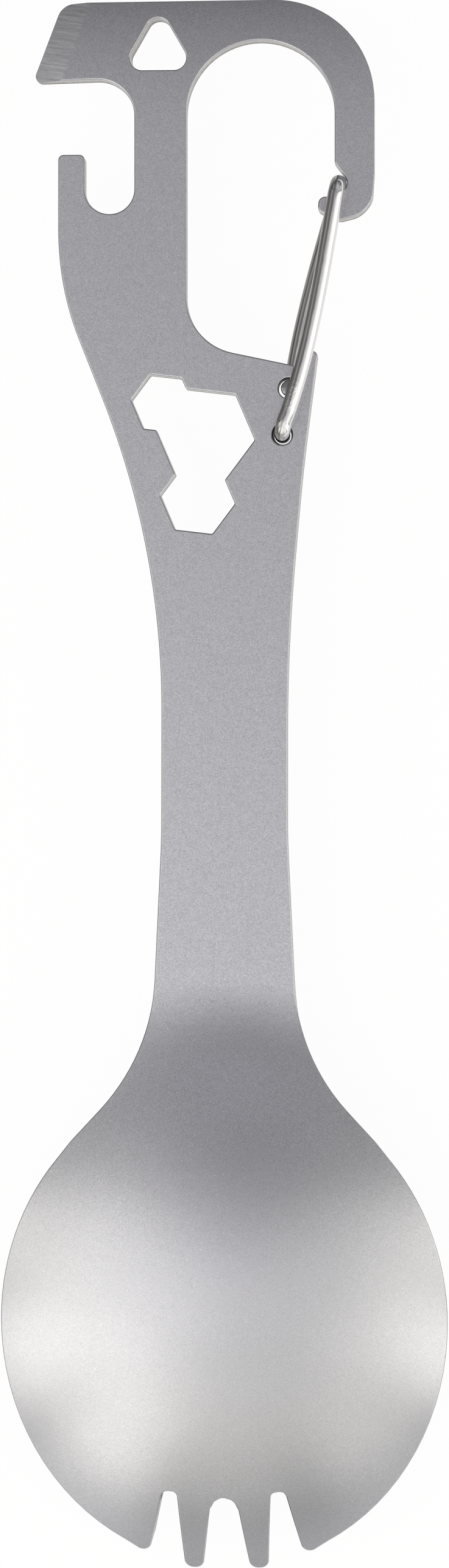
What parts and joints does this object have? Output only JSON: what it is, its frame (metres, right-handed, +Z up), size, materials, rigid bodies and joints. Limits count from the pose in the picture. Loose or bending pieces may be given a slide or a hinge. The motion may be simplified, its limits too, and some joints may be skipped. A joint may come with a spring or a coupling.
{
  "type": "spork multi-tool",
  "caption": "Flat metal spork with a pressed bowl and tines, an open carabiner head with a sprung wire gate, a bottle opener, a ground driver tip and hexagonal key cut-outs.",
  "frame": {"origin": "centre of the bounding box in X and Y, at its lowest point, the undersides of the two inner tines", "axes": "+Y from the tines to the carabiner head, +X towards the head's nose, +Z up, out of the back of the bowl; the flat handle is horizontal"},
  "size_m": [0.0422, 0.149, 0.0152],
  "materials": {
    "plate": "bead blasted, fine satin grain",
    "wire": "drawn and polished spring wire"
  },
  "bodies": {
    "plate": {"spork_body": "plate"},
    "front_leg": {"gate_front_leg": "wire"},
    "back_leg": {"gate_back_leg": "wire"}
  },
  "joints": [
    {"name": "gate_pivot", "type": "hinge", "parent": "plate", "child": "front_leg", "pos_m": [0.00547, 0.03345, 0.00721], "axis": [0, 0, 1], "range_deg": [0, 20], "stiffness_Nm_per_rad": 0.05, "springref_deg": -8.59},
    {"name": "crown_flex", "type": "hinge", "parent": "front_leg", "child": "back_leg", "pos_m": [0.01069, 0.05717, 0.00721], "axis": [0, 0, 1], "range_deg": [0, 4.5]}
  ],
  "couplings": [
    {"joint": "crown_flex", "follows": "gate_pivot", "ratio": 0.22}
  ]
}
